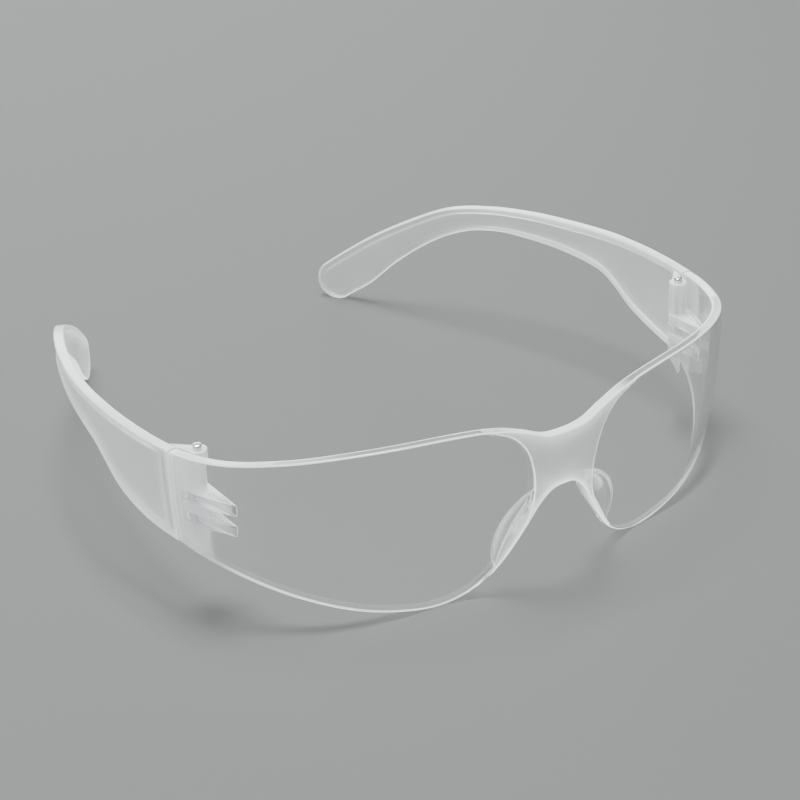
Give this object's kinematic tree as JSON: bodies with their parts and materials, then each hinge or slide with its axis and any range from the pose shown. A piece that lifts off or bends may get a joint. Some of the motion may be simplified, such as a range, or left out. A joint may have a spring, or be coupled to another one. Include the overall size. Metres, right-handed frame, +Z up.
{
  "type": "safety glasses",
  "caption": "Clear wraparound safety glasses: a one-piece curved lens with moulded nose pads, and arms that fold on steel hinge pins.",
  "frame": {"origin": "on the ground plane, under the middle of the whole object with its arms open", "axes": "+X to the wearer's left, +Y from the lens back along the arms, +Z up"},
  "size_m": [0.1432, 0.1548, 0.0429],
  "materials": {
    "lens": "clear gloss polycarbonate, frosted round the nose bridge",
    "temple": "clear polycarbonate with a fine frosted surface and a brighter rim",
    "pin": "bright steel"
  },
  "bodies": {
    "front": {"lens": "lens", "hinge_pin_right": "pin", "hinge_pin_left": "pin"},
    "right_temple": {"temple_right": "temple"},
    "left_temple": {"temple_left": "temple"}
  },
  "joints": [
    {"name": "left_temple_hinge", "type": "hinge", "parent": "front", "child": "left_temple", "pos_m": [0.064, -0.03752, 0.026], "axis": [0, 0, 1], "range_deg": [0, 84]},
    {"name": "right_temple_hinge", "type": "hinge", "parent": "front", "child": "right_temple", "pos_m": [-0.064, -0.03752, 0.026], "axis": [0, 0, -1], "range_deg": [0, 68]}
  ]
}
